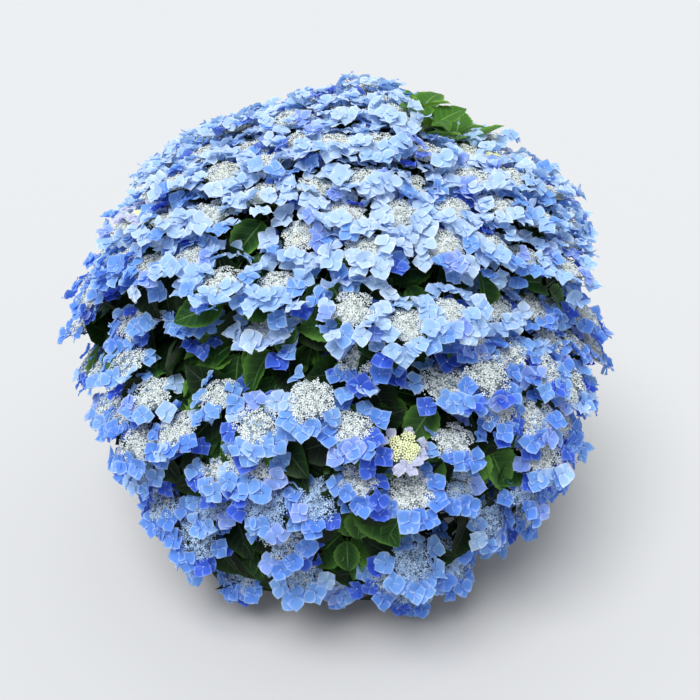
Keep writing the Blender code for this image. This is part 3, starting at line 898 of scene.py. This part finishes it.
# Leaves: in their depths, at their edge, where the lighter colour is partly painted light, and with light
# behind them. The first, near-black, is for leaves inside and under heads: painted shade.
LEAVES = (
    leaf_finish("leaf_deep", (0.002, 0.009, 0.002), (0.011, 0.037, 0.004), (0.02, 0.06, 0.01)),
    leaf_finish("leaf_green", (0.012, 0.052, 0.009), (0.098, 0.240, 0.036), (0.11, 0.28, 0.028)),
    leaf_finish("leaf_bright", (0.036, 0.118, 0.014), (0.145, 0.300, 0.040), (0.20, 0.42, 0.04)),
)
SHADED_GREEN, GREEN, BRIGHT_GREEN = range(3)
STALKS = (varied_finish("green_stalk", (0.042, 0.088, 0.022), (0.038, 0.030, 0.018), bias=1.0),)
FINISHES = {
    "twigs": STALKS,
    "stalks": STALKS,
    "leaves": LEAVES,
    "sepals": SEPALS,
    "flowers": BLOSSOM,
    "buds": BLOSSOM,
}
CANE_BARK = bark_finish("cane_bark", (0.300, 0.215, 0.140), (0.085, 0.055, 0.035), 0.22)
STOOL_BARK = bark_finish("stool_bark", (0.230, 0.170, 0.115), (0.055, 0.038, 0.026), 0.4)


# ---------------- flower heads


def disc_spots(rng):
    """The flowers of a full-sized disc, tuft by tuft: the place, the way it leans, and if it is in bud."""
    spin = rng.uniform(0, math.tau)
    tufts = rng.randint(*TUFTS)
    for tuft in range(tufts + 1):
        angle = spin + math.tau * tuft / tufts + rng.uniform(-TUFT_SWAY, TUFT_SWAY)
        ring = TUFT_RING * rng.uniform(*TUFT_SCATTER) if tuft < tufts else 0.0
        reach = TUFT_RADIUS * rng.uniform(*TUFT_SCATTER)
        middle = Vector((math.cos(angle) * ring, math.sin(angle) * ring, 0))
        phase = rng.uniform(0, math.tau)
        for i in range(FLOWERS_IN_TUFT):
            share = math.sqrt((i + INNERMOST_FLOWER) / FLOWERS_IN_TUFT)
            turn = phase + GOLDEN_ANGLE * i
            spot = middle + Vector((math.cos(turn), math.sin(turn), 0)) * reach * share
            far = spot.length / (TUFT_RING + TUFT_RADIUS)
            dome = DISC_DOME * (1 - far * far) + TUFT_DOME * (1 - share * share)
            spot.z = dome + rng.uniform(-FLOWER_SCATTER, FLOWER_SCATTER)
            lean = (spot - middle) * TUFT_LEAN + spot * DISC_LEAN
            lean_x = lean.x + rng.uniform(-SWAY, SWAY)
            lean_y = lean.y + rng.uniform(-SWAY, SWAY)
            yield spot, (lean_x, lean_y, 1), rng.random() < BUD_SHARE


class FlowerHead:
    """One flower head in the making. In its own space it faces +Z, and its disc's rim is at height 0."""

    def __init__(self, shoot, facing, rng, piles):
        self.shoot, self.rng, self.piles = shoot, rng, piles
        self.base = np.array(shoot.point)
        self.turn = turns_facing(np.array(facing)[None], np.zeros(1))[0]

    def grow(self):
        self.grow_disc()
        self.grow_florets()
        self.grow_rays()

    def disc_tints(self):
        """Tints for most of the disc's flowers, the rest of them, some of its buds, and its soft body:
        lighter for heads in the sun, painted sunlight, and bluer and darker for low heads, painted shade.
        """
        body = DISC_SUNNY if self.shoot.sunny else DISC_PALE
        if self.shoot.young:
            return CREAM, CREAM, CREAM, body
        if self.shoot.sunny:
            return WHITE, self.rng.choice((WHITE, IVORY)), IVORY, body
        if self.shoot.low:
            return ICE, self.rng.choice((WHITE, ICE)), BUD, DISC_SHADE
        return WHITE, self.rng.choice((WHITE, ICE)), BUD, body

    def grow_disc(self):
        """The lacy disc: tufts of small flowers and buds over a soft body."""
        shoot, rng = self.shoot, self.rng
        scale = shoot.scale * (SUNNY_DISC if shoot.sunny else 1)
        spots, leans, shut = (np.array(column) for column in zip(*disc_spots(rng)))
        shut = shut | shoot.young
        places = spots * scale @ self.turn.T + self.base
        spins = np.array([rng.uniform(0, math.tau) for _ in places])
        chances = np.array([rng.random() for _ in places])
        sizes = np.array([rng.uniform(*FLOWER_RADIUS) for _ in places]) * math.sqrt(scale)
        turns = turns_facing(leans @ self.turn.T, spins)
        main, other, bud, body = self.disc_tints()
        tints = np.where(chances < MAIN_TINT_SHARE, main, other)
        flower_turns = turns * sizes[:, None, None]
        self.piles["flowers"].add(FLOWER, flower_turns[~shut], places[~shut], tints[~shut], chances[~shut])
        bud_size = rng.uniform(*BUD_RADIUS) * (YOUNG_BUD_SIZE if shoot.young else 1)
        bud_tints = np.where(chances[shut] < BUD_TINT_SHARE, bud, main)
        self.piles["buds"].add(BEAD, turns[shut] * bud_size, places[shut], bud_tints, chances[shut])
        under = self.base - self.turn[:, 2] * CUSHION_DROP
        width = (TUFT_RING + TUFT_RADIUS * CUSHION_REACH) * scale
        height = (DISC_DOME + TUFT_DOME) * CUSHION_RISE * scale
        cushion = self.turn @ np.diag((width, width, height))
        self.piles["buds"].add_one(CUSHION, cushion, under, body, rng.random())

    def grow_florets(self):
        """The broad florets round the disc, then a few lower ones."""
        shoot, rng = self.shoot, self.rng
        ring = SUNNY_FLORETS if shoot.sunny else FLORETS
        downhill = self.turn.T @ np.array((shoot.direction.x, shoot.direction.y, -1.0))
        first = math.atan2(downhill[1], downhill[0])
        own_tint = self.floret_tint()
        count = rng.randint(*ring.count)
        for k in range(count):
            share = (2 * k + 1 + rng.uniform(-FLORET_SCATTER, FLORET_SCATTER)) / count - 1
            angle = first + math.pi * math.copysign(abs(share) ** ring.crowding, share)
            reach = rng.uniform(*ring.reach) * shoot.scale
            height = rng.uniform(*ring.rise) + (ring.reach[1] * shoot.scale - reach) * FLORET_CLIMB
            odd = rng.random() >= OWN_TINT_SHARE
            tint = rng.choice(SUNNY_ODD_TINTS if shoot.sunny else SIDE_ODD_TINTS) if odd else own_tint
            self.grow_floret(angle, reach, height, ring.tilt, YOUNG if shoot.young else tint)
        if not shoot.young:
            for _ in range(rng.randint(*(SUNNY_UNDER_FLORETS if shoot.sunny else UNDER_FLORETS))):
                angle, reach = rng.uniform(0, math.tau), rng.uniform(*UNDER_REACH)
                height = rng.uniform(*UNDER_RISE)
                # The lower florets on the sides all get the darkest blue: painted shade.
                tint = rng.choice(SUNNY_UNDER_TINTS) if shoot.sunny else SHADED_BLUE
                self.grow_floret(angle, reach, height, ring.tilt, tint)

    def floret_tint(self):
        """Heads in the sun on top of the shrub get paler tints than those on its sides: painted sunlight."""
        if self.shoot.direction.z > HIGHEST:
            return self.rng.choice(HIGHEST_TINTS)
        return self.rng.choice(SUNNY_TINTS if self.shoot.sunny else SIDE_TINTS)

    def grow_floret(self, angle, reach, height, tilts, tint):
        """One floret on its own stalk, with its closed flower in the middle."""
        shoot, rng = self.shoot, self.rng
        out = spoke(angle)
        tilt = math.radians(rng.uniform(*tilts))
        sway = np.array((rng.uniform(-SWAY, SWAY), rng.uniform(-SWAY, SWAY), 0))
        normal = self.turn @ (out * math.sin(tilt) + UP * math.cos(tilt) + sway) + UP * FLORET_UPTURN
        place = self.base + self.turn @ (out * reach + UP * height)
        size = rng.uniform(*FLORET_RADIUS) * (YOUNG_FLORET_SIZE if shoot.young else shoot.size**0.5)
        size *= SUNNY_FLORET_SIZE if shoot.sunny else 1
        turn = turns_facing(normal[None], np.array([rng.uniform(0, math.tau)]))[0]
        self.piles["sepals"].add_one(rng.choice(FLORET_SHAPES), turn * size, place, tint, rng.random())
        face = turn[:, 2]
        heart = place + face * size * HEART_LIFT
        self.piles["buds"].add_one(BEAD, np.eye(3) * size * HEART_RADIUS, heart, ICE, HEART_CHANCE)
        fork = self.base - self.turn[:, 2] * RAY_DROP * STALK_FORK
        bow = (fork + place) / 2 - face * STALK_BOW
        self.piles["stalks"].add_rod((fork, bow, place - face * JOIN), FLORET_STALK)

    def grow_rays(self):
        """The rays that carry the disc's tufts from the tip of the twig."""
        fork = self.base - self.turn[:, 2] * RAY_DROP
        for ray in range(RAYS):
            tip = (spoke(math.tau * ray / RAYS) * TUFT_RING + UP * JOIN) * self.shoot.size
            self.piles["stalks"].add_rod((fork, self.base + self.turn @ tip), RAY)


# ---------------- boughs, twigs and leaves


def bough_groups(mass):
    """A mass's shoots in groups that share one bough: those nearest to a few spread-out ones."""
    count = max(1, round(len(mass.shoots) / SHOOTS_ON_BOUGH))
    seeds = [mass.shoots[0]]
    while len(seeds) < count:
        seeds.append(max(mass.shoots, key=lambda s: min((s.point - other.point).length for other in seeds)))
    groups = [[] for _ in seeds]
    for shoot in mass.shoots:
        nearest = min(range(count), key=lambda i: (shoot.point - seeds[i].point).length)
        groups[nearest].append(shoot)
    return groups


def arc(start, control, end, steps):
    shares = [k / steps for k in range(steps + 1)]
    return [start * (1 - t) ** 2 + control * 2 * t * (1 - t) + end * t * t for t in shares]


def grow_mass(mass, piles):
    """Everything that grows on from one cane's tip."""
    rng = random.Random(f"{SEED} {mass.name} fine")
    start = mass.point(mass.direction, STEM_START)
    end = mass.point(mass.direction, STEM_END)
    piles["twigs"].add_rod((start, (start + end) / 2, end), STEM)
    for group in bough_groups(mass):
        mean = sum((shoot.direction for shoot in group), Vector()).normalized()
        fork = mass.point((mean * FORK_PULL + mass.direction).normalized(), FORK_SHARE)
        bough = arc(end, end + (end - start) * CURVE, fork, BOUGH_STEPS)
        piles["twigs"].add_rod(bough, BOUGH)
        pairs_on(group[0], bough, BOUGH_NODES, True, rng, piles)
        for shoot in group:
            grow_shoot(shoot, fork, rng, piles)


def grow_shoot(shoot, fork, rng, piles):
    """A twig with its pairs of leaves, and the flower head at its tip."""
    facing = shoot.facing()
    tip = shoot.point - facing * (RAY_DROP if shoot.flowering else 0.0)
    line = arc(fork, tip - facing * (tip - fork).length * CURVE, tip, TWIG_STEPS)
    piles["twigs"].add_rod(line, TWIG._replace(age=rng.uniform(*TWIG.age)))
    pairs_on(shoot, line, LEAF_NODES if shoot.flowering else ROSETTE_NODES, False, rng, piles)
    if shoot.flowering:
        FlowerHead(shoot, facing, rng, piles).grow()


def pairs_on(shoot, line, nodes, inner, rng, piles):
    """Pairs of leaves along a twig or a bough."""
    turn = rng.uniform(0, math.tau)
    for share, length in nodes:
        turn += math.pi / 2 + rng.uniform(-PAIR_SCATTER, PAIR_SCATTER)
        at, along = spot_on(line, share)
        outer = not inner and share > OUTER_SHARE
        for half in (0, math.pi):
            leaf_on(shoot, at, along, turn + half, length * rng.uniform(*LEAF_SIZE), outer, rng, piles)


def spot_on(line, share):
    """The point and the direction at a share of the way along a line."""
    place = share * (len(line) - 1)
    k = min(int(place), len(line) - 2)
    return line[k].lerp(line[k + 1], place - k), (line[k + 1] - line[k]).normalized()


def leaf_on(shoot, at, along, turn, length, outer, rng, piles):
    """One leaf of a pair, on its short stalk, arching out and down from the twig."""
    out = Matrix.Rotation(turn, 3, along) @ along.orthogonal().normalized()
    droop = rng.uniform(*(LEAF_DROOP if shoot.flowering else ROSETTE_DROOP))
    sweep = rng.uniform(*LEAF_SWEEP)
    if shoot.bright:
        droop, sweep, length = 0.0, rng.uniform(*BRIGHT_SWEEP), length * BRIGHT_SIZE
    reach = (out + along * sweep - Vector((0, 0, droop))).normalized()
    face = along + Vector((0, 0, LEAF_UPTURN)) + shoot.direction * LEAF_OUTTURN
    face = (face - reach * face.dot(reach)).normalized()
    foot = at + (out + along * LEAF_STALK_SWEEP).normalized() * LEAF_STALK_LENGTH
    turns = np.array(Matrix((reach, face.cross(reach), face)).transposed()) * length
    shape = rng.choice(OUTER_LEAVES if outer else INNER_LEAVES)
    lowest = (turns @ shape.points.T)[2].min() + foot.z
    if lowest >= GROUND_CLEARANCE:
        piles["leaves"].add_one(shape, turns, foot, leaf_tint(shoot, outer, rng), rng.random())
        piles["stalks"].add_rod((at, foot), LEAF_STALK)


def leaf_tint(shoot, outer, rng):
    """Near-black inside, on low heads and under some others, as painted shade; green outside, and brighter
    at the tips of the leafy shoots.
    """
    if not outer:
        return SHADED_GREEN
    if shoot.bright:
        return BRIGHT_GREEN
    shaded = shoot.flowering and (shoot.low or rng.random() < SHADED_SHARE)
    return SHADED_GREEN if shaded else GREEN


def grow_crown(masses):
    for level, tiers in LEVELS.items():
        piles = {kind: Pile() for kind in FINISHES}
        nodes = []
        for mass in masses:
            if mass.tier in tiers:
                grow_mass(mass, piles)
                nodes.append("foliage_" + mass.name)
        for kind, pile in piles.items():
            pile.join(f"{kind}_{level}", FINISHES[kind], "foliage", nodes)


# ---------------- canes and stool


def cane_line(mass):
    """A cane's middle line: upright from the stool, then arching out to its mass."""
    tip = mass.point(mass.direction, STEM_START)
    foot = Vector((*mass.cane_foot, STOOL_HEIGHT))
    start = foot + Vector((0, 0, CANE_UPRIGHT))
    bend = Vector((*mass.cane_foot * CANE_LEAN, start.z + CANE_BEND * (tip.z - start.z)))
    return np.array([foot - Vector((0, 0, CANE_ROOT)), *arc(start, bend, tip, CANE_RINGS)])


def roughen(rings, centres, depth, strip):
    """Gives a skin the relief of bark that stands up in strips: how deep, and their width and length."""
    for ring, centre in zip(rings, centres):
        for point in ring:
            spot = (point[0] / strip[0], point[1] / strip[0], point[2] / strip[1])
            point += (point - centre) * depth * noise.fractal(spot, *BARK_LAYERS)


def add_cane(pile, line, radii):
    rings = rings_along(line, radii, CANE_SIDES)
    roughen(rings, line, CANE_RELIEF, CANE_STRIP)
    pile.add_skin(rings)


def grow_canes(masses):
    """The canes, with a swollen joint wherever leaves once stood."""
    canes = Pile()
    for mass in masses:
        line = cane_line(mass)
        shares = np.linspace(0, 1, len(line))
        first = random.Random(f"{SEED} {mass.name} bark").random()
        joints = np.maximum(0, np.cos(math.tau * (shares * CANE_JOINTS + first))) ** JOINT_SHARPNESS
        add_cane(canes, line, np.interp(shares, (0, 1), CANE_RADIUS) * (1 + JOINT_SWELLING * joints))
    canes.join("canes", (CANE_BARK,), "canes", CANE_NODES)


def stool_rings():
    """The stool's rings, from its lobed foot to its closed top, and their centres."""
    shares = np.linspace(0, len(STOOL_RINGS) - 1, STOOL_ROWS)
    radii, heights = (np.interp(shares, range(len(STOOL_RINGS)), column) for column in zip(*STOOL_RINGS))
    angles = np.arange(STOOL_SIDES) * math.tau / STOOL_SIDES
    fade = np.clip(1 - heights / STOOL_HEIGHT, 0, 1)[:, None]
    reach = radii[:, None] * (1 + STOOL_LOBE_DEPTH * fade * np.cos(STOOL_LOBES * angles))
    level = np.broadcast_to(heights[:, None], reach.shape)
    rings = np.stack((np.cos(angles) * reach, np.sin(angles) * reach, level), 2)
    return rings, np.stack((heights * 0, heights * 0, heights), 1)


def stub_line(angle):
    """The middle line of a cane that was cut back."""
    out, up = Vector((math.cos(angle), math.sin(angle), 0)), Vector((0, 0, 1))
    foot = out * STUB_PLACE + Vector((0, 0, STOOL_HEIGHT - STUB_ROOT))
    return np.array([foot + (out * STUB_LEAN + up) * rise for rise in STUB_RISES])


def grow_stool():
    """The short woody foot, with the stubs of canes that were cut back."""
    stool = Pile()
    rings, centres = stool_rings()
    roughen(rings, centres, STOOL_RELIEF, STOOL_STRIP)
    stool.add_skin(rings)
    rng = random.Random(f"{SEED} stubs")
    for k in range(STUBS):
        angle = math.tau * (k + rng.uniform(-STUB_SCATTER, STUB_SCATTER)) / STUBS
        add_cane(stool, stub_line(angle), STUB_RADII)
    stool.join("woody_stool", (STOOL_BARK,), "stem_base", ("stem_base",))


FLORET_SHAPES = [model_floret(variant) for variant in range(FLORET_VARIANTS)]
FLOWER = model_flower()
BEAD = model_ball(3, 3, 1)
CUSHION = model_ball(12, 4, 0.15)
INNER_LEAVES = (model_leaf(7, 2, 0.10, 0.3, 0.04), model_leaf(7, 2, 0.25, 0.4, 0.04))
OUTER_LEAVES = (
    model_leaf(15, 4, 0.12, 0.30, 0.070),
    model_leaf(15, 4, 0.28, 0.45, 0.080),
    model_leaf(15, 4, 0.45, 0.20, 0.070),
)


# ---------------- studio


def lay_floor():
    floor = fresh_mesh(bpy.ops.mesh.primitive_plane_add, size=FLOOR_SIZE)
    floor.name = "studio_ground"
    floor.data.materials.append(floor_finish())
    floor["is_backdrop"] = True


def light_studio():
    """A broad soft light from above the front, and pale air all round."""
    world = bpy.data.worlds.new("studio_air")
    bpy.context.scene.world = world
    world.use_nodes = True
    air = world.node_tree.nodes["Background"]
    air.inputs["Color"].default_value = (*AIR_COLOUR, 1)
    air.inputs["Strength"].default_value = AIR_LIGHT
    lamp = bpy.data.lights.new("key_light", "SUN")
    lamp.angle = KEY_SPREAD
    lamp.energy = KEY_LIGHT
    light = add_object("key_light", lamp)
    light.rotation_euler = direction_of(*KEY_PLACE).to_track_quat("Z", "Y").to_euler()


def place_camera():
    """The crown fills its circle of the frame, seen from the front and above."""
    focal_pixels = CROWN_RADIUS_PIXELS / math.tan(math.asin(CROWN_RADIUS / VIEW_DISTANCE))
    camera = add_object("camera", bpy.data.cameras.new("camera"))
    camera.data.sensor_width = SENSOR * 1000
    camera.data.lens = SENSOR * 1000 * focal_pixels / FRAME_PIXELS
    camera.data.shift_x = (FRAME_PIXELS / 2 - CROWN_PIXEL[0]) / FRAME_PIXELS
    camera.data.shift_y = (CROWN_PIXEL[1] - FRAME_PIXELS / 2) / FRAME_PIXELS
    back = Vector((0, -math.cos(VIEW_ELEVATION), math.sin(VIEW_ELEVATION)))
    camera.location = CROWN_CENTRE + back * VIEW_DISTANCE
    camera.rotation_euler = (-back).to_track_quat("-Z", "Y").to_euler()
    bpy.context.scene.camera = camera


def write_sizes():
    """The solids' box and the finished plant's box, as plain lists."""
    boxes = {"solids": SOLIDS_BOX, "finished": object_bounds()}
    plain = {name: [list(corner) for corner in box] for name, box in boxes.items()}


crown_masses = lay_out_masses()
lay_out_shoots(crown_masses)
grow_crown(crown_masses)
grow_canes(crown_masses)
grow_stool()
lay_floor()
light_studio()
place_camera()
bpy.context.scene.view_settings.view_transform = "Standard"
write_sizes()
